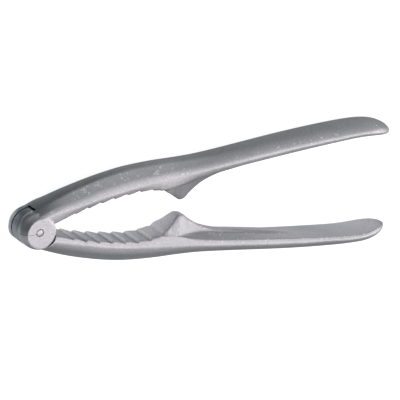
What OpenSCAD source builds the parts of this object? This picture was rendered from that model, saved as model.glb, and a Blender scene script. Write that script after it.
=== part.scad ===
// Two-lever nutcracker: a forked lever and a tongued lever that turn on one cross pin.
// The tool lies on its side. X runs from the hinge to the handle tips, +Z is the pin's
// axis, and the origin is on that axis at the face the tool rests on. Millimetres.

/* [Overall] */
// Distance from the pin's axis to the handle tips
lever_len = 174; // [165:1:185]
// Width over the fork's two side faces, which is also the pin's length of hold
body_w = 17.6; // [16.8:0.2:19]

/* [Hinge] */
// Radius of the fork's ears
ear_r = 7.7; // [7.5:0.1:7.9]
// Radius of the tongue's round end
tongue_r = 7.8; // [7.6:0.1:8]
// Thickness of the tongue
tongue_t = 5.4; // [5:0.1:5.8]
// Gap between the tongue and each ear
side_gap = 0.4; // [0.2:0.05:0.5]
// Gap between the tongue's round end and the bottom of the fork's slot
root_gap = 0.8; // [0.3:0.1:1]
// Gap between the ears' rims and the hollows they turn in
rim_gap = 1.8; // [1.5:0.1:2]
// Diameter of the cross pin
pin_d = 3.2; // [3:0.1:3.6]
// Radial clearance of the pin in the ears
pin_gap = 0.05; // [0.03:0.01:0.08]
// Width of the closed slit through each ear
slit_w = 0.2; // [0.1:0.05:0.3]

/* [Jaw] */
// Number of cross teeth on each jaw
tooth_count = 7; // [5:1:7]
// Distance from one tooth to the next
tooth_pitch = 6.3; // [6:0.1:6.3]
// Distance from the pin to the first tooth's edge
tooth_start = 17.8; // [17.6:0.1:18]
// Depth of the notch in front of each tooth
tooth_depth = 1.1; // [0.8:0.1:1.3]

/* [Shoulder] */
// Distance from the pin to the shoulder's crest
crest_x = 70.5; // [70:0.5:72]
// Distance of the crest from the mid-plane between the levers
crest_y = 3.5; // [3.5:0.1:4]
// Half-width of the crest across the lever
crest_half = 2.6; // [2:0.1:3]

/* [Hidden] */

half_w = body_w / 2;
slot_half = tongue_t / 2 + side_gap;
slot_r = tongue_r + root_gap;
hollow_r = ear_r + rim_gap;
bore_r = pin_d / 2 + pin_gap;
// The ears' outer edges are rounded by a barrel whose axis is a little in front of and below the pin
barrel_x = 1;
barrel_y = -0.7;
barrel_face_r = 6.6;
// Lengths that the shapes share
cut = 30;
root_x = -3;
groove_x = 60.6;
edge_round = 0.9;
tip_round_x = lever_len - 14;
// Levels of smoothness: steps over half a crown, and the circles' facets
crown_steps = 6;
$fn = 96;

// Distance along the lever, as a share of the handle behind the crest
function along(share) = crest_x + share * (lever_len - crest_x);

// Outward distance of the back's ridge from the mid-plane between the levers
back_line = [[-3, 6.9], [0, 8.4], [5, 10.7], [15, 14.3], [25, 17.1], [35, 19.3], [45, 20.75], [58, 21.5],
    [70, 21.55], [80, 21.85], [along(0.25), 23.3], [along(0.5), 25.9], [along(0.7), 27.4],
    [along(0.84), 27.8], [along(0.92), 27.2], [lever_len, 25]];
// How flat the slopes beside the back's ridge are: 1 is a flat slope between two bends, 0 an even curve
flat_line = [[-3, 0.5], [10, 1], [70, 1], [90, 0.5], [along(0.4), 0.2], [lever_len, 0.1]];
// Distance of the jaw's tooth edges, then of the handle's inner edge
edge_line = [[-3, 1], [3, 1.5], [8, 2.7], [17.8, 5.3], [30, 8.1], [43, 10.1], [50, 10.8], [56, 10.5],
    [62, 10], [66, 10.5], [70, 11.6], [74, 13], [79, 14.1], [86, 15.3], [along(0.24), 16.4],
    [along(0.5), 19.4], [along(0.7), 21.4], [along(0.82), 22.3], [along(0.9), 22.1], [lever_len, 20.2]];
// Distance of the block's top from the mid-plane: the groove, the ramp, the crest and the slope behind
block_line = [[59, 10.5], [groove_x, 10.6], [62, 9], [65.2, 7.2], [crest_x - 2, crest_y + 1],
    [crest_x - 0.8, crest_y + 0.15], [crest_x, crest_y], [crest_x + 1.5, crest_y + 0.05],
    [crest_x + 2.7, crest_y + 0.5], [crest_x + 5, crest_y + 2.4], [crest_x + 8, crest_y + 4.6],
    [crest_x + 11, crest_y + 6.4], [crest_x + 14, crest_y + 7.6], [crest_x + 19, crest_y + 9.1],
    [along(0.24), 13.5], [along(0.38), 15.8], [along(0.5), 17.9], [along(0.62), 20.2], [along(0.72), 21.6]];
// Half-width of the block's top, and of its foot on the ledge beside it
block_half = [[59, 6.2], [63, 6], [66, 4.4], [crest_x - 1.5, crest_half + 0.3], [crest_x, crest_half],
    [76, 1.5], [along(0.72), 1.2]];
block_foot = [[59, 6.5], [66, 6.4], [70, 5.8], [72, 5.3], [75.4, 4.4], [79, 3.6], [82, 3.1], [86, 2.8],
    [92, 2.9], [along(0.3), 3.4], [along(0.72), 5]];
// Rise of that foot above the lever's inner edge, towards the other lever
foot_rise = [[59, 0], [68, 0.1], [72, 1.1], [76, 1.6], [81, 1.9], [86, 1.9], [92, 1.5], [along(0.38), 0.9],
    [along(0.5), 0.45], [along(0.62), 0.1], [along(0.72), 0]];
// Share of the ledge between the lever's side and the block: none where the block's flank
// grows out of the side
ledge_line = [[59, 1], [60.6, 1], [62, 0.3], [64, 0.1], [66.5, 0.1], [69, 0.5], [72, 1], [along(0.72), 1]];
// Half-width of the lever at the widest line of its side
clevis_half = [[-3, half_w - 0.3], [1, half_w - 0.05], [6, half_w - 0.1], [18, 7.9], [32, 7.3], [45, 7.3],
    [70, 7.35], [85, 7.6], [along(0.4), 8.1], [along(0.7), half_w - 0.15], [along(0.82), half_w],
    [lever_len, half_w - 0.1]];
tongue_half = [[-3, 7.3], [45, 7.3], [70, 7.35], [85, 7.6], [along(0.4), 8.1],
    [along(0.7), half_w - 0.15], [along(0.82), half_w], [lever_len, half_w - 0.1]];
// Distance of that widest line from the mid-plane
clevis_side = [[-3, 4], [0, 5.1], [5, 7], [10, 8], [18, 8.9], [25, 10.1], [35, 11.9], [45, 13.5], [60, 15.2],
    [80, 17.1], [along(0.25), 18.9], [along(0.5), 21.5], [along(0.7), 23.1], [along(0.85), 23.9],
    [lever_len, 22]];
tongue_side = [[-3, 3.4], [0, 4.1], [5, 5.2], [15, 7.3], [25, 9.7], [35, 11.9], [45, 13.5], [60, 15.2],
    [80, 17.1], [along(0.25), 18.9], [along(0.5), 21.5], [along(0.7), 23.1], [along(0.85), 23.9],
    [lever_len, 22]];

// Smooth curve through [x, value] points, as cubic spans with averaged slopes
function grade(p, i) =
    let (a = max(i - 1, 0), b = min(i + 1, len(p) - 1))
    (p[b][1] - p[a][1]) / (p[b][0] - p[a][0]);
function span_of(p, x, i = 0) = i >= len(p) - 2 || x < p[i + 1][0] ? i : span_of(p, x, i + 1);
function curve(p, x) =
    let (i = span_of(p, x), w = p[i + 1][0] - p[i][0], t = (x - p[i][0]) / w)
    (2 * t ^ 3 - 3 * t ^ 2 + 1) * p[i][1] + (t ^ 3 - 2 * t ^ 2 + t) * w * grade(p, i)
    + (3 * t ^ 2 - 2 * t ^ 3) * p[i + 1][1] + (t ^ 3 - t ^ 2) * w * grade(p, i + 1);

// The tip closes in plan and in depth
function tip_share(x) = max(0, (x - tip_round_x) / (lever_len + 0.2 - tip_round_x));
function tip_plan(x) = sqrt(1 - tip_share(x) ^ 2);
function tip_depth(x) = sqrt(1 - tip_share(x) ^ 4);
function tip_mid(x) = (curve(back_line, x) + curve(edge_line, x)) / 2 - 1.2 * tip_share(x);
function tipped(x, y) = tip_mid(x) + (y - tip_mid(x)) * tip_depth(x);

// The block beside the jaw and the low ridge that it fades into along the handle
function in_block(x) = x > 59 && x < along(0.72);

// A half crown as shares of its width and height, from the ridge (t = 0) to the side (t = 1)
function round_crown(t) = [sin(90 * t), cos(90 * t)];
function bend(p, via, q, t) = (1 - t) ^ 2 * p + 2 * t * (1 - t) * via + t ^ 2 * q;
function flat_crown(t) =
    t < 1 / 3 ? bend([0, 1], [0.374, 1], [0.5, 0.86], 3 * t)
    : t < 2 / 3 ? [0.5, 0.86] + (3 * t - 1) * [0.36, -0.4]
    : bend([0.86, 0.46], [0.955, 0.32], [1, 0], 3 * t - 2);

// Rise of the block's flank, from its foot to its rounded top edge
function flank(t) = t < 0.7 ? 1.2 * t : 0.84 + 0.16 * sin(90 * (t - 0.7) / 0.3);

// Half of a cross-section as [z, y] points, from the back's ridge round to the middle of the inner face
function half_section(x, half_line, side_line) =
    let (
        w = curve(half_line, x) * tip_plan(x),
        y_side = tipped(x, curve(side_line, x)),
        y_back = tipped(x, curve(back_line, x)),
        y_edge = tipped(x, curve(edge_line, x)),
        corner = min(edge_round + (x < 59 ? 0.5 : 0), (y_side - y_edge) * 0.45, w * 0.4),
        w_edge = w - 0.04 * (y_side - y_edge) - 0.2,
        w_foot = in_block(x) ? min(curve(block_foot, x), w_edge - corner - 0.1) : 0.6 * w,
        w_top = in_block(x) ? min(curve(block_half, x), w_foot - 0.2) : 0.35 * w,
        y_top = in_block(x) ? min(curve(block_line, x), y_edge) : y_edge,
        soft = min(1, max(0, (x - crest_x - 3) / 14)),
        flat = curve(flat_line, x),
        ledge = in_block(x) ? min(1, max(0.1, curve(ledge_line, x))) : 1,
        side = [w_edge, y_edge + corner],
        rise = in_block(x) ? min(curve(foot_rise, x), 0.6 * (y_edge - y_top)) : 0,
        foot = side + ledge * [w_foot - side[0], -corner] - [0, rise]
    )
    concat(
        [for (i = [0 : crown_steps])
            let (t = i / crown_steps, c = (1 - flat) * round_crown(t) + flat * flat_crown(t))
            [w * c[0], y_side + (y_back - y_side) * c[1]]],
        [side, side - ledge * corner * [0.3, 0.7], side - ledge * corner * [1, 1], foot],
        [for (t = [0.2 : 0.2 : 1])
            [foot[0] + (w_top - foot[0]) * t,
                foot[1] + (y_top - foot[1]) * ((1 - soft) * flank(t) + soft * (1 - cos(180 * t)) / 2)]],
        [[0, y_top]]);

function ring(x, half_line, side_line) =
    let (h = half_section(x, half_line, side_line), n = len(h))
    concat(
        [for (p = h) [x, p[1], p[0]]],
        [for (i = [n - 2 : -1 : 1]) [x, h[i][1], -h[i][0]]]);

// Stations along a lever: close together over the shoulder and the tip
stations = concat(
    [for (i = [0 : 14]) root_x + i * (groove_x - 1.6 - root_x) / 14],
    [59.8, groove_x, 61.4, 62.4, 63.6, 65, 66.3, 67.5],
    [for (i = [-2 : 3]) crest_x + i * 0.8],
    [for (i = [0 : 7]) crest_x + 3.8 + i * 2.2],
    [for (i = [1 : 12]) crest_x + 19.2 + i * (tip_round_x - crest_x - 19.2) / 12],
    [for (a = [15 : 15 : 75]) tip_round_x + (lever_len - tip_round_x) * sin(a)],
    [lever_len]);

module loft(rings) {
    n = len(rings[0]);
    m = len(rings);
    polyhedron(
        points = [for (r = rings) each r],
        faces = concat(
            [[for (j = [0 : n - 1]) j]],
            [[for (j = [n - 1 : -1 : 0]) (m - 1) * n + j]],
            [for (i = [0 : m - 2]) for (j = [0 : n - 1]) let (k = (j + 1) % n)
                each [[i * n + j, (i + 1) * n + j, i * n + k],
                    [i * n + k, (i + 1) * n + j, (i + 1) * n + k]]]));
}

module lever_body(half_line, side_line) {
    loft([for (x = stations) ring(x, half_line, side_line)]);
}

// One prism across the jaw that leaves the teeth standing: steep towards the hinge, gentle behind
module tooth_notches() {
    tips = [for (i = [0 : tooth_count - 1]) tooth_start + i * tooth_pitch];
    linear_extrude(height = cut, center = true)
        polygon(concat(
            [[9, -1], [9, curve(edge_line, 9)],
                [tips[0] - 0.5, curve(edge_line, tips[0]) + 0.7 * tooth_depth]],
            [for (i = [0 : tooth_count - 2]) each [
                [tips[i], curve(edge_line, tips[i]) - 0.02],
                [tips[i + 1] - 0.5, curve(edge_line, tips[i + 1]) + tooth_depth]]],
            [[tips[tooth_count - 1], curve(edge_line, tips[tooth_count - 1]) - 0.3], [58, -1]]));
}

module disc(r, low, high) {
    translate([0, 0, low]) cylinder(r = r, h = high - low);
}

// An ear pair before it is slotted: a drum whose outer edges are rounded off
module ear_drum() {
    // Radius, and depth below the side face
    edge = [for (p = [[0, 0], [0.25, 0.2], [1.1, 1.8], [1.8, 2.9], [2.4, 3.9], [2.7, 4.8]])
        p + [barrel_face_r, 0]];
    intersection() {
        disc(ear_r, -half_w, half_w);
        translate([barrel_x, barrel_y, 0])
            rotate_extrude()
                polygon(concat(
                    [[0, -half_w]],
                    [for (p = edge) [p[0], -half_w + p[1]]],
                    [for (i = [len(edge) - 1 : -1 : 0]) [edge[i][0], half_w - edge[i][1]]],
                    [[0, half_w]]));
    }
}

module clevis_lever() {
    color("silver")
        translate([0, 0, half_w])
            difference() {
                union() {
                    lever_body(clevis_half, clevis_side);
                    ear_drum();
                }
                tooth_notches();
                disc(slot_r, -slot_half, slot_half);
                disc(bore_r, -cut, cut);
                for (side = [-1, 1])
                    translate([0, 0, side * half_w])
                        rotate([side > 0 ? 180 : 0, 0, 0])
                            translate([0, 0, -0.01]) cylinder(r1 = bore_r + 0.3, r2 = bore_r, h = 0.3);
                translate([-cut, -0.45 - slit_w / 2, -cut]) cube([cut - pin_d / 2, slit_w, 2 * cut]);
            }
}

module tongue_lever() {
    color("silver")
        translate([0, 0, half_w])
            mirror([0, 1, 0])
                difference() {
                    union() {
                        difference() {
                            lever_body(tongue_half, tongue_side);
                            disc(hollow_r, tongue_t / 2, cut);
                            disc(hollow_r, -cut, -tongue_t / 2);
                        }
                        disc(tongue_r, -tongue_t / 2, tongue_t / 2);
                    }
                    tooth_notches();
                    disc(pin_d / 2, -cut, cut);
                }
}

module pivot_pin() {
    end_chamfer = 0.25;
    color("gainsboro")
        rotate_extrude()
            polygon([
                [0, 0],
                [pin_d / 2 - end_chamfer, 0],
                [pin_d / 2, end_chamfer],
                [pin_d / 2, body_w - end_chamfer],
                [pin_d / 2 - end_chamfer, body_w],
                [0, body_w]]);
}

clevis_lever();
tongue_lever();
pivot_pin();
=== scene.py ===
import math

import bmesh
import bpy
import numpy as np
from mathutils import Matrix, Vector


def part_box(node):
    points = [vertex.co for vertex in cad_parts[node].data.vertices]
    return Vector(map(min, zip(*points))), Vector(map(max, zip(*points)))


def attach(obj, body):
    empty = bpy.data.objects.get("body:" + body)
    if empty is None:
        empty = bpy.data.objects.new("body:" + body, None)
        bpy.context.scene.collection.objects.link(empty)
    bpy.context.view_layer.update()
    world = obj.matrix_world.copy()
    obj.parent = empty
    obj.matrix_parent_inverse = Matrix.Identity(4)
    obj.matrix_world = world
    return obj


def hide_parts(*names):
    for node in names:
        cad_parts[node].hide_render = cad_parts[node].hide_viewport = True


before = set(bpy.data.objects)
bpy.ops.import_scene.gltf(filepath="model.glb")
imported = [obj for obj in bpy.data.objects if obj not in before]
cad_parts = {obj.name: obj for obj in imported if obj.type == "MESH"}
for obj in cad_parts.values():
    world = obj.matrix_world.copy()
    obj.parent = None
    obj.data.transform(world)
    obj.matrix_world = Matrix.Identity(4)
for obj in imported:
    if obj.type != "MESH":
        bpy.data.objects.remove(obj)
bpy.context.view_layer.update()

MM = 0.001

# ---------------------------------------------------------------- sizes, in millimetres
# The levers' reach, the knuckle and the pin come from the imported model; the rest repeat the solid model's.
low_c, high_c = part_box("clevis_lever")
low_t, high_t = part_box("tongue_lever")
low_p, high_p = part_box("pivot_pin")
LEVER = high_c.x / MM
BODY = high_p.z / MM
HALF = BODY / 2
EAR = -low_c.x / MM
TONGUE = -low_t.x / MM
PIN = high_p.x / MM
TONGUE_T = 5.4
SLOT_HALF = TONGUE_T / 2 + 0.4
SLOT_R = TONGUE + 0.8
HOLLOW_R = EAR + 1.8
BORE_R = PIN + 0.05
BORE_FLARE = 0.3
SLIT_LOW, SLIT_HIGH = -0.55, -0.35
ROOT_X = -3
BLOCK_X = 59
GROOVE_X = 60.6
CREST_X, CREST_Y, CREST_HALF = 70.5, 3.5, 2.6
TIP_X = LEVER - 14
EDGE_ROUND, JAW_EDGE_ROUND = 0.9, 1.4
TOOTH_COUNT, TOOTH_START, TOOTH_PITCH, TOOTH_DEPTH = 7, 17.8, 6.3, 1.1
# Rounding of the castings: the skin's mesh size, its passes of smoothing, and the tongue's rims
VOXEL = 0.28
SMOOTHING = 3
TONGUE_ROUND = 0.7


def along(share):
    """Distance along the lever, as a share of the handle behind the crest."""
    return CREST_X + share * (LEVER - CREST_X)


# ---------------------------------------------------------------- the levers' outlines, as in the solid model
# Each is a list of [x, value] points. BACK is the outward distance of the back's ridge, and FLAT how flat the
# slopes beside the ridge are. EDGE is the inner edge. BLOCK, BLOCK_HALF, BLOCK_FOOT and FOOT_RISE are the
# shoulder block's top, half-width, foot and the foot's rise. LEDGE is the share of the ledge beside it.
# The _HALF and _SIDE lines are each lever's half-width and the distance at which it is widest.
BACK = [[ROOT_X, 6.9], [0, 8.4], [5, 10.7], [15, 14.3], [25, 17.1], [35, 19.3], [45, 20.75], [58, 21.5],
        [70, 21.55], [80, 21.85], [along(0.25), 23.3], [along(0.5), 25.9], [along(0.7), 27.4],
        [along(0.84), 27.75], [along(0.92), 27.2], [LEVER, 25]]
FLAT = [[ROOT_X, 0.5], [10, 1], [70, 1], [90, 0.5], [along(0.4), 0.2], [LEVER, 0.1]]
EDGE = [[ROOT_X, 1], [3, 1.5], [8, 2.7], [17.8, 5.3], [30, 8.1], [43, 10.1], [50, 10.8], [56, 10.5],
        [62, 10], [66, 10.5], [70, 11.6], [74, 13], [79, 14.1], [86, 15.3], [along(0.24), 16.4],
        [along(0.5), 19.4], [along(0.7), 21.4], [along(0.82), 22.3], [along(0.9), 22.1], [LEVER, 20.2]]
BLOCK = [[BLOCK_X, 10.5], [GROOVE_X, 10.6], [62, 9], [65.2, 7.2], [CREST_X - 2, CREST_Y + 1],
         [CREST_X - 0.8, CREST_Y + 0.15], [CREST_X, CREST_Y], [CREST_X + 1.5, CREST_Y + 0.05],
         [CREST_X + 2.7, CREST_Y + 0.5], [CREST_X + 5, CREST_Y + 2.4], [CREST_X + 8, CREST_Y + 4.6],
         [CREST_X + 11, CREST_Y + 6.4], [CREST_X + 14, CREST_Y + 7.6], [CREST_X + 19, CREST_Y + 9.1],
         [along(0.24), 13.5], [along(0.38), 15.8], [along(0.5), 17.9], [along(0.62), 20.2],
         [along(0.72), 21.6]]
BLOCK_HALF = [[BLOCK_X, 6.2], [63, 6], [66, 4.4], [CREST_X - 1.5, 2.9], [CREST_X, CREST_HALF],
              [76, 1.5], [along(0.72), 1.2]]
BLOCK_FOOT = [[BLOCK_X, 6.5], [66, 6.4], [70, 5.8], [72, 5.3], [75.4, 4.4], [79, 3.6], [82, 3.1], [86, 2.8],
              [92, 2.9], [along(0.3), 3.4], [along(0.72), 5]]
FOOT_RISE = [[BLOCK_X, 0], [68, 0.1], [72, 1.1], [76, 1.6], [81, 1.9], [86, 1.9], [92, 1.5],
             [along(0.38), 0.9], [along(0.5), 0.45], [along(0.62), 0.1], [along(0.72), 0]]
LEDGE = [[BLOCK_X, 1], [GROOVE_X, 1], [62, 0.3], [64, 0.1], [66.5, 0.1], [69, 0.5], [72, 1], [along(0.72), 1]]
TAIL = [[along(0.4), 8.1], [along(0.7), HALF - 0.2], [along(0.82), HALF - 0.06], [LEVER, HALF - 0.2]]
FORK_HALF = [[ROOT_X, HALF - 0.3], [1, HALF - 0.1], [6, HALF - 0.15], [18, 7.9], [32, 7.3], [45, 7.3],
             [70, 7.35], [85, 7.6]] + TAIL
TONGUE_HALF = [[ROOT_X, 7.3], [45, 7.3], [70, 7.35], [85, 7.6]] + TAIL
SIDE_TAIL = [[35, 11.9], [45, 13.5], [60, 15.2], [80, 17.1], [along(0.25), 18.9], [along(0.5), 21.5],
             [along(0.7), 23.1], [along(0.85), 23.9], [LEVER, 22]]
FORK_SIDE = [[ROOT_X, 4], [0, 5.1], [5, 7], [10, 8], [18, 8.9], [25, 10.1]] + SIDE_TAIL
TONGUE_SIDE = [[ROOT_X, 3.4], [0, 4.1], [5, 5.2], [15, 7.3], [25, 9.7]] + SIDE_TAIL


def curve(p, x):
    """The solid model's smooth curve through [x, value] points."""
    n = len(p)
    i = 0
    while i < n - 2 and x >= p[i + 1][0]:
        i += 1

    def grade(k):
        a, b = max(k - 1, 0), min(k + 1, n - 1)
        return (p[b][1] - p[a][1]) / (p[b][0] - p[a][0])

    w = p[i + 1][0] - p[i][0]
    t = (x - p[i][0]) / w
    return ((2 * t**3 - 3 * t**2 + 1) * p[i][1] + (t**3 - 2 * t**2 + t) * w * grade(i)
            + (3 * t**2 - 2 * t**3) * p[i + 1][1] + (t**3 - t**2) * w * grade(i + 1))


def bend(p, via, q, t):
    """A point on the curve that leaves p towards via and ends at q."""
    return [(1 - t)**2 * a + 2 * t * (1 - t) * b + t * t * c for a, b, c in zip(p, via, q)]


def section(x, half_line, side_line):
    """Half of a cross-section, as [z, y] from the back's ridge to the middle of the inner face."""
    s = min(1.0, max(0.0, (x - TIP_X) / (LEVER - TIP_X)))
    plan = math.sqrt(max(0.0, 1 - s * s))
    deep = math.sqrt(max(0.0, 1 - s**4))
    raw_back, raw_edge = curve(BACK, x), curve(EDGE, x)
    mid = (raw_back + raw_edge) / 2 - 1.2 * s

    def tipped(y):
        return mid + (y - mid) * deep

    w = curve(half_line, x) * plan
    y_side, y_back, y_edge = tipped(curve(side_line, x)), tipped(raw_back), tipped(raw_edge)
    inside = BLOCK_X < x < along(0.72)
    corner = min(JAW_EDGE_ROUND if x < BLOCK_X else EDGE_ROUND, (y_side - y_edge) * 0.45, w * 0.4)
    w_edge = w - 0.04 * (y_side - y_edge) - 0.2 * plan
    foot = min(curve(BLOCK_FOOT, x), w_edge - corner - 0.1) if inside else 0.6 * w
    top = min(curve(BLOCK_HALF, x), foot - 0.2) if inside else 0.35 * w
    y_top = min(curve(BLOCK, x), y_edge) if inside else y_edge
    soft = min(1.0, max(0.0, (x - CREST_X - 3) / 14))
    flat = curve(FLAT, x)
    ledge = min(1.0, max(0.1, curve(LEDGE, x))) if inside else 1.0
    # The back, from its ridge to the widest line
    pts = []
    for i in range(25):
        t = i / 24
        if t < 1 / 3:
            slope = bend((0, 1), (0.374, 1), (0.5, 0.86), 3 * t)
        elif t < 2 / 3:
            slope = bend((0.5, 0.86), (0.68, 0.66), (0.86, 0.46), 3 * t - 1)
        else:
            slope = bend((0.86, 0.46), (0.955, 0.32), (1, 0), 3 * t - 2)
        across = (1 - flat) * math.sin(math.pi / 2 * t) + flat * slope[0]
        rise = (1 - flat) * math.cos(math.pi / 2 * t) + flat * slope[1]
        pts.append([w * across, y_side + (y_back - y_side) * rise])
    # The side, the rounded edge, and the ledge with the foot of the block
    for i in range(1, 5):
        t = i / 5
        pts.append([w + (w_edge - w) * t * t, y_side + (y_edge + corner - y_side) * t])
    for i in range(7):
        a = math.pi / 2 * i / 6
        pts.append([w_edge - ledge * corner * (1 - math.cos(a)), y_edge + corner * (1 - ledge * math.sin(a))])
    rise = min(curve(FOOT_RISE, x), 0.6 * (y_edge - y_top)) if inside else 0
    foot, y_foot = w_edge + ledge * (foot - w_edge), y_edge + corner * (1 - ledge) - rise
    top = min(top, foot - 0.2)
    pts.append([foot, y_foot])
    # The block's flank and its top
    for i in range(1, 13):
        t = i / 12
        sharp = 1.2 * t if t < 0.7 else 0.84 + 0.16 * math.sin(math.pi / 2 * (t - 0.7) / 0.3)
        blend = (1 - soft) * sharp + soft * (1 - math.cos(math.pi * t)) / 2
        pts.append([foot + (top - foot) * t, y_foot + (y_top - y_foot) * blend])
    for i in range(1, 4):
        pts.append([top * (1 - i / 3), y_top])
    return pts


def mesh_object(name, verts, faces):
    mesh = bpy.data.meshes.new(name)
    mesh.from_pydata([Vector(v) * MM for v in verts], [], faces)
    mesh.validate()
    obj = bpy.data.objects.new(name, mesh)
    bpy.context.scene.collection.objects.link(obj)
    return obj


def outward(obj):
    """Triangles with their faces turned outwards, which the cuts need."""
    bm = bmesh.new()
    bm.from_mesh(obj.data)
    bmesh.ops.triangulate(bm, faces=bm.faces)
    bmesh.ops.recalc_face_normals(bm, faces=bm.faces)
    bm.to_mesh(obj.data)
    bm.free()
    return obj


def lever_loft(name, half_line, side_line, sign):
    """A closed loft along X. sign is +1 for the lever on the +Y side and -1 for the other."""
    stations = list(np.arange(float(ROOT_X), TIP_X, 0.5))
    stations += [TIP_X + (LEVER - TIP_X) * math.sin(math.radians(a)) for a in range(0, 90, 6)]
    stations.append(LEVER - 0.02)
    verts, faces = [], []
    for x in stations:
        half = section(x, half_line, side_line)
        ring = half + [[-p[0], p[1]] for p in half[-2:0:-1]]
        verts += [(x, sign * p[1], p[0] + HALF) for p in ring]
    n, m = len(ring), len(stations)
    for i in range(m - 1):
        for j in range(n):
            k = (j + 1) % n
            faces.append((i * n + j, (i + 1) * n + j, (i + 1) * n + k, i * n + k))
    faces.append(tuple(range(n)))
    faces.append(tuple((m - 1) * n + j for j in range(n - 1, -1, -1)))
    return outward(mesh_object(name, verts, faces))


def lathe(name, profile, centre=(0, 0), steps=160):
    """A closed solid turned round Z from [r, z] points; the first and last points lie on the axis."""
    verts = [(centre[0], centre[1], profile[0][1]), (centre[0], centre[1], profile[-1][1])]
    inner = profile[1:-1]
    for k in range(steps):
        a = 2 * math.pi * k / steps
        verts += [(centre[0] + r * math.cos(a), centre[1] + r * math.sin(a), z) for r, z in inner]
    n = len(inner)
    faces = []
    for k in range(steps):
        a, b = 2 + k * n, 2 + ((k + 1) % steps) * n
        faces.append((0, b, a))
        faces.append((1, a + n - 1, b + n - 1))
        faces += [(a + i, b + i, b + i + 1, a + i + 1) for i in range(n - 1)]
    return outward(mesh_object(name, verts, faces))


def disc(r, low, high):
    return lathe("cutter", [[0, low], [r, low], [r, high], [0, high]])


def prism(points, low, high):
    n = len(points)
    verts = [(x, y, low) for x, y in points] + [(x, y, high) for x, y in points]
    faces = [tuple(range(n)), tuple(range(2 * n - 1, n - 1, -1))]
    faces += [(i, (i + 1) % n, n + (i + 1) % n, n + i) for i in range(n)]
    return outward(mesh_object("cutter", verts, faces))


def bake(obj):
    """Applies the object's modifiers."""
    dg = bpy.context.evaluated_depsgraph_get()
    mesh = bpy.data.meshes.new_from_object(obj.evaluated_get(dg))
    obj.modifiers.clear()
    old = obj.data
    obj.data = mesh
    bpy.data.meshes.remove(old)
    return obj


def combine(obj, other, operation):
    mod = obj.modifiers.new("b", "BOOLEAN")
    mod.operation = operation
    mod.solver = "EXACT"
    mod.object = other
    bpy.context.view_layer.update()
    bake(obj)
    bpy.data.objects.remove(other)
    return obj


def soften(obj):
    """Rounds a casting's edges: an even skin of small quads, then a few passes of smoothing."""
    mod = obj.modifiers.new("r", "REMESH")
    mod.mode = "VOXEL"
    mod.voxel_size = VOXEL * MM
    bake(obj)
    mod = obj.modifiers.new("s", "SMOOTH")
    mod.factor = 0.5
    mod.iterations = SMOOTHING
    return bake(obj)


def tooth_gaps(sign):
    """One prism across the jaw that leaves the teeth standing: steep towards the hinge, gentle behind."""
    tips = [TOOTH_START + TOOTH_PITCH * i for i in range(TOOTH_COUNT)]
    pts = [[9, -1], [9, curve(EDGE, 9)], [tips[0] - 0.5, curve(EDGE, tips[0]) + 0.7 * TOOTH_DEPTH]]
    for tip, following in zip(tips, tips[1:]):
        pts += [[tip, curve(EDGE, tip) - 0.02], [following - 0.5, curve(EDGE, following) + TOOTH_DEPTH]]
    pts += [[tips[-1], curve(EDGE, tips[-1]) - 0.3], [58, -1]]
    return prism([(x, sign * y) for x, y in pts], HALF - 15, HALF + 15)


# ---------------------------------------------------------------- the forked lever
fork = lever_loft("fork_lever_cast", FORK_HALF, FORK_SIDE, 1)
rim = [[0, 0], [0.25, 0.2], [1.1, 1.8], [1.8, 2.9], [2.4, 3.9], [2.7, 4.8]]
rim = [[6.6 + r, d] for r, d in rim]
barrel = lathe("cutter", [[0, 0]] + rim + [[r, BODY - d] for r, d in rim[::-1]] + [[0, BODY]],
               centre=(1, -0.7))
combine(barrel, disc(EAR, 0, BODY), "INTERSECT")
combine(fork, barrel, "UNION")
combine(fork, tooth_gaps(1), "DIFFERENCE")
soften(fork)
combine(fork, disc(SLOT_R, HALF - SLOT_HALF, HALF + SLOT_HALF), "DIFFERENCE")
flare = BORE_R + BORE_FLARE
combine(fork, lathe("cutter", [[0, -1], [flare + 1, -1], [BORE_R, BORE_FLARE], [BORE_R, BODY - BORE_FLARE],
                               [flare + 1, BODY + 1], [0, BODY + 1]]), "DIFFERENCE")
combine(fork, prism([(-20, SLIT_LOW), (-PIN, SLIT_LOW), (-PIN, SLIT_HIGH), (-20, SLIT_HIGH)], -5, BODY + 5),
        "DIFFERENCE")

# ---------------------------------------------------------------- the tongued lever
tongue = lever_loft("tongue_lever_cast", TONGUE_HALF, TONGUE_SIDE, -1)
combine(tongue, disc(HOLLOW_R, HALF + TONGUE_T / 2, 40), "DIFFERENCE")
combine(tongue, disc(HOLLOW_R, -20, HALF - TONGUE_T / 2), "DIFFERENCE")
low, high = HALF - TONGUE_T / 2 - 0.01, HALF + TONGUE_T / 2 + 0.01
end_disc = [[0, low], [TONGUE - TONGUE_ROUND, low], [TONGUE, low + TONGUE_ROUND],
            [TONGUE, high - TONGUE_ROUND], [TONGUE - TONGUE_ROUND, high], [0, high]]
combine(tongue, lathe("cutter", end_disc, steps=157), "UNION")
combine(tongue, tooth_gaps(-1), "DIFFERENCE")
soften(tongue)
combine(tongue, disc(PIN, -5, BODY + 5), "DIFFERENCE")

# ---------------------------------------------------------------- the cross pin, with slightly domed ends
end = [[0, 0], [0.5, 0.01], [0.9, 0.05], [1.2, 0.12], [1.4, 0.2], [PIN - 0.06, 0.34], [PIN, 0.5]]
pin = lathe("cross_pin", end + [[r, BODY - z] for r, z in end[::-1]], steps=96)

for obj in (fork, tongue, pin):
    obj.data.polygons.foreach_set("use_smooth", [True] * len(obj.data.polygons))
    obj.data.set_sharp_from_angle(angle=math.radians(42))


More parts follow.
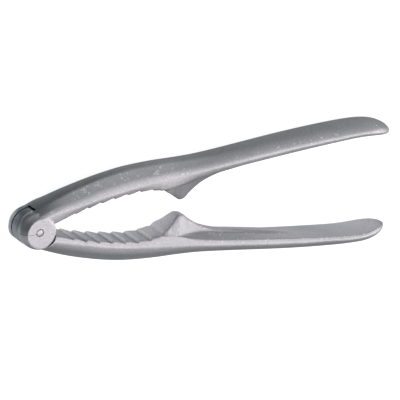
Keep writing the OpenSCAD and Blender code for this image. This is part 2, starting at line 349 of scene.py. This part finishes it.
# ---------------------------------------------------------------- materials
class Shader:
    """A new material with its Principled node, and short ways to add the nodes used below."""

    def __init__(self, name):
        self.material = bpy.data.materials.new(name)
        self.material.use_nodes = True
        self.tree = self.material.node_tree
        self.surface = self.tree.nodes["Principled BSDF"]
        self.place = None

    def node(self, kind):
        return self.tree.nodes.new("ShaderNode" + kind)

    def link(self, output, socket):
        self.tree.links.new(output, socket)

    def on_object(self):
        """Marks and grain are placed in the object's own coordinates."""
        self.place = self.node("TexCoord").outputs["Object"]

    def noise(self, scale, detail=2, rough=0.5):
        noise = self.node("TexNoise")
        noise.inputs["Scale"].default_value = scale
        noise.inputs["Detail"].default_value = detail
        noise.inputs["Roughness"].default_value = rough
        if self.place is not None:
            self.link(self.place, noise.inputs["Vector"])
        return noise.outputs["Fac"]

    def ramp(self, value, stops):
        ramp = self.node("ValToRGB")
        while len(ramp.color_ramp.elements) < len(stops):
            ramp.color_ramp.elements.new(0.5)
        for element, (position, colour) in zip(ramp.color_ramp.elements, stops):
            element.position = position
            element.color = (*colour, 1)
        self.link(value, ramp.inputs["Fac"])
        return ramp.outputs["Color"]

    def tint(self, a, b):
        mix = self.node("Mix")
        mix.data_type = "RGBA"
        mix.blend_type = "MULTIPLY"
        mix.inputs["Factor"].default_value = 1.0
        self.link(a, mix.inputs["A"])
        self.link(b, mix.inputs["B"])
        return mix.outputs["Result"]

    def maths(self, kind, a, b):
        step = self.node("Math")
        step.operation = kind
        for socket, value in zip(step.inputs, (a, b)):
            if isinstance(value, float):
                socket.default_value = value
            else:
                self.link(value, socket)
        return step.outputs[0]

    def bump(self, height, strength, distance):
        bump = self.node("Bump")
        bump.inputs["Strength"].default_value = strength
        bump.inputs["Distance"].default_value = distance
        self.link(height, bump.inputs["Height"])
        self.link(bump.outputs["Normal"], self.surface.inputs["Normal"])


def cast_metal():
    """Tumbled cast aluminium: cloudy grey with fine grain, painted highlights on the edges and painted shade
    in the hollows.
    """
    sh = Shader("tumbled_cast_aluminium")
    maths = sh.maths
    sh.surface.inputs["Metallic"].default_value = 1.0
    sh.surface.inputs["Specular Tint"].default_value = (0.45, 0.47, 0.48, 1)
    sh.on_object()
    cloud = sh.noise(55, 3)
    grain = sh.noise(2600, 2, 0.6)
    fleck = sh.noise(1200, 1)
    base = sh.ramp(cloud, [(0.3, (0.384, 0.38, 0.394)), (0.7, (0.444, 0.431, 0.445))])
    speck = sh.ramp(grain, [(0.3, (0.72, 0.73, 0.73)), (0.55, (1, 1, 1)), (0.75, (1.25, 1.25, 1.25))])
    colour = sh.tint(base, speck)
    # Painted highlight and painted shade: convex edges are made brighter and concave hollows darker
    edge_glint_and_hollow_shade = sh.ramp(sh.node("NewGeometry").outputs["Pointiness"], [
        (0.42, (0.45, 0.46, 0.47)), (0.475, (0.85, 0.85, 0.86)), (0.5, (1, 1, 1)), (0.53, (1.15, 1.15, 1.15)),
        (0.6, (1.45, 1.45, 1.45))])
    colour = sh.tint(colour, edge_glint_and_hollow_shade)

    # Distances from the pin's axis and from the mid-plane between the ears
    place = sh.node("SeparateXYZ")
    sh.link(sh.place, place.inputs[0])
    x, y, z = (place.outputs[axis] for axis in "XYZ")
    radius = maths("POWER", maths("ADD", maths("MULTIPLY", x, x), maths("MULTIPLY", y, y)), 0.5)
    off = maths("ABSOLUTE", maths("SUBTRACT", z, HALF * MM), 0.0)

    # Painted shade darkens the faces in the slot between the ears, and painted light brightens the ears' flat
    # faces
    slot_shade = maths("MULTIPLY", maths("LESS_THAN", radius, (TONGUE + 0.25) * MM),
                   maths("LESS_THAN", off, (SLOT_HALF + 0.02) * MM))
    patchy = maths("MULTIPLY", slot_shade, maths("ADD", sh.noise(300, 2), 0.5))
    colour = sh.tint(colour, sh.ramp(patchy, [(0, (1, 1, 1)), (1, (0.8, 0.86, 0.88))]))
    # Painted light: the ears' flat faces are made brighter and slightly pink
    ear_face_light = maths("MULTIPLY", maths("LESS_THAN", radius, (EAR + 0.2) * MM),
                  maths("GREATER_THAN", off, (HALF - 0.3) * MM))
    patchy = maths("MULTIPLY", ear_face_light, maths("ADD", sh.noise(500, 2), 0.5))
    colour = sh.tint(colour, sh.ramp(patchy, [(0, (1, 1, 1)), (1, (1.1, 1.07, 1.09))]))
    sh.link(colour, sh.surface.inputs["Base Color"])

    sh.link(maths("ADD", maths("MULTIPLY", fleck, 0.16), 0.36), sh.surface.inputs["Roughness"])
    skin = maths("ADD", maths("MULTIPLY", grain, 0.6), maths("MULTIPLY", sh.noise(420, 3), 1.0))
    sh.bump(skin, 0.6, 0.00012)
    return sh.material


def pin_metal():
    """Drawn steel with faint turned rings on the pin's ends."""
    sh = Shader("drawn_pin_steel")
    sh.surface.inputs["Metallic"].default_value = 1.0
    sh.on_object()
    rings = sh.node("TexWave")
    rings.wave_type = "RINGS"
    rings.rings_direction = "Z"
    rings.inputs["Scale"].default_value = 900
    rings.inputs["Distortion"].default_value = 1.5
    sh.link(sh.place, rings.inputs["Vector"])
    cloud = sh.noise(1500)
    sh.link(sh.ramp(cloud, [(0, (0.4, 0.39, 0.4)), (1, (0.5, 0.48, 0.49))]), sh.surface.inputs["Base Color"])
    sh.link(sh.maths("ADD", sh.maths("MULTIPLY", cloud, 0.15), 0.3), sh.surface.inputs["Roughness"])
    sh.bump(rings.outputs["Fac"], 0.3, 0.00005)
    return sh.material


cast = cast_metal()
for obj, body, node, slot in ((fork, "fork_side", "clevis_lever", "cast_metal"),
                              (tongue, "tongue_side", "tongue_lever", "cast_metal"),
                              (pin, "tongue_side", "pivot_pin", "pin_metal")):
    obj.data.materials.clear()
    obj.data.materials.append(cast if slot == "cast_metal" else pin_metal())
    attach(obj, body)
    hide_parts(node)


# ---------------------------------------------------------------- floor, light and camera
def sheet(name, corners, height):
    return mesh_object(name, [(x, y, height) for x, y in corners], [tuple(range(len(corners)))])


def floor_paper():
    sh = Shader("pale_floor")
    sh.surface.inputs["Roughness"].default_value = 0.9
    sh.surface.inputs["Specular IOR Level"].default_value = 0.1
    sh.surface.inputs["Emission Color"].default_value = (1, 1, 1, 1)
    sh.surface.inputs["Emission Strength"].default_value = 0.85
    shade = sh.ramp(sh.noise(40), [(0, (0.38, 0.38, 0.38)), (1, (0.42, 0.42, 0.42))])
    sh.link(shade, sh.surface.inputs["Base Color"])
    return sh.material


def card_paper():
    sh = Shader("white_card")
    sh.surface.inputs["Base Color"].default_value = (0, 0, 0, 1)
    sh.surface.inputs["Emission Strength"].default_value = 1.3
    glow = sh.ramp(sh.noise(60), [(0, (0.91, 0.92, 0.96)), (1, (0.95, 0.96, 1))])
    sh.link(glow, sh.surface.inputs["Emission Color"])
    return sh.material


floor = sheet("floor", [(-3000, -3000), (3000, -3000), (3000, 3000), (-3000, 3000)], -0.1)
floor.data.materials.append(floor_paper())
floor.visible_glossy = False

# A white card under the gap between the levers: it only shows in the metal, as the bright paper there does
card = sheet("bounce_card", [(-11, -26), (178, -26), (178, 6), (5, 6), (0, 9), (-11, 9)], -0.08)
card.data.materials.append(card_paper())
card.visible_camera = card.visible_diffuse = card.visible_shadow = card.visible_transmission = False


def area(name, where, aim, size, power, colour):
    data = bpy.data.lights.new(name, "AREA")
    data.shape = "RECTANGLE"
    data.size, data.size_y = size
    data.energy = power
    data.color = colour
    obj = bpy.data.objects.new(name, data)
    obj.location = where
    obj.rotation_euler = (Vector(aim) - Vector(where)).to_track_quat("-Z", "Y").to_euler()
    bpy.context.scene.collection.objects.link(obj)


area("overhead_softbox", (0.3, -0.27, 1.3), (0.3, -0.27, 0), (2.2, 1.06), 5.9, (1.0, 0.955, 0.99))
area("overhead_strip", (0.7, -0.6, 1.28), (0.7, -0.6, 0), (1.6, 0.45), 1.3, (1.0, 0.95, 0.985))
area("right_softbox", (1.5, 0, 0.85), (0.08, 0, 0), (1.3, 1.3), 9.0, (1.0, 0.955, 0.985))


def studio_walls():
    """Soft surroundings: each lobe is [direction, where it starts, where it is full, grey]."""
    world = bpy.data.worlds.new("studio")
    world.use_nodes = True
    nt = world.node_tree
    nodes, links = nt.nodes, nt.links
    tc = nodes.new("ShaderNodeTexCoord")
    colour = None
    lobes = [[(0, 0, 1), -1, -0.99, (0.77, 0.79, 0.8)],
             [(0, -0.2, -1), 0.45, 0.8, (0.85, 0.85, 0.87)],
             [(-0.22, 0.8, -0.5), 0.68, 0.95, (0.09, 0.125, 0.14)],
             [(-0.5, 0.35, -0.8), 0.85, 0.98, (0.12, 0.15, 0.16)],
             [(-0.95, 0.3, 0.1), 0.6, 0.9, (0.12, 0.15, 0.16)],
             [(0.2, -0.97, 0.1), 0.55, 0.85, (0.46, 0.48, 0.485)],
             [(0.9, -0.4, -0.35), 0.78, 0.93, (1.15, 1.14, 1.16)]]
    for direction, start, full, grey in lobes:
        dot = nodes.new("ShaderNodeVectorMath")
        dot.operation = "DOT_PRODUCT"
        dot.inputs[1].default_value = Vector(direction).normalized()
        links.new(tc.outputs["Generated"], dot.inputs[0])
        span = nodes.new("ShaderNodeMapRange")
        span.interpolation_type = "SMOOTHSTEP"
        span.inputs["From Min"].default_value = start
        span.inputs["From Max"].default_value = full
        links.new(dot.outputs["Value"], span.inputs["Value"])
        mix = nodes.new("ShaderNodeMix")
        mix.data_type = "RGBA"
        links.new(span.outputs["Result"], mix.inputs["Factor"])
        if colour:
            links.new(colour, mix.inputs["A"])
        else:
            mix.inputs["A"].default_value = (*grey, 1)
        mix.inputs["B"].default_value = (*grey, 1)
        colour = mix.outputs["Result"]
    links.new(colour, nodes["Background"].inputs["Color"])
    bpy.context.scene.world = world


studio_walls()
bpy.context.scene.view_settings.view_transform = "Standard"

right = Vector((0.8701, 0.0504, 0.4903)).normalized()
up = Vector((0.1262, 0.9388, -0.3205))
up = (up - right * up.dot(right)).normalized()
toward = right.cross(up)
target = Vector((0.06394, 0.01369, 0.03935))
cam_data = bpy.data.cameras.new("camera")
cam_data.sensor_width = 36
cam_data.lens = 534.8
cam_data.clip_end = 50
cam = bpy.data.objects.new("camera", cam_data)
bpy.context.scene.collection.objects.link(cam)
turn = Matrix((right, up, toward)).transposed().to_4x4()
cam.matrix_world = Matrix.Translation(target + toward * 2.5) @ turn
bpy.context.scene.camera = cam
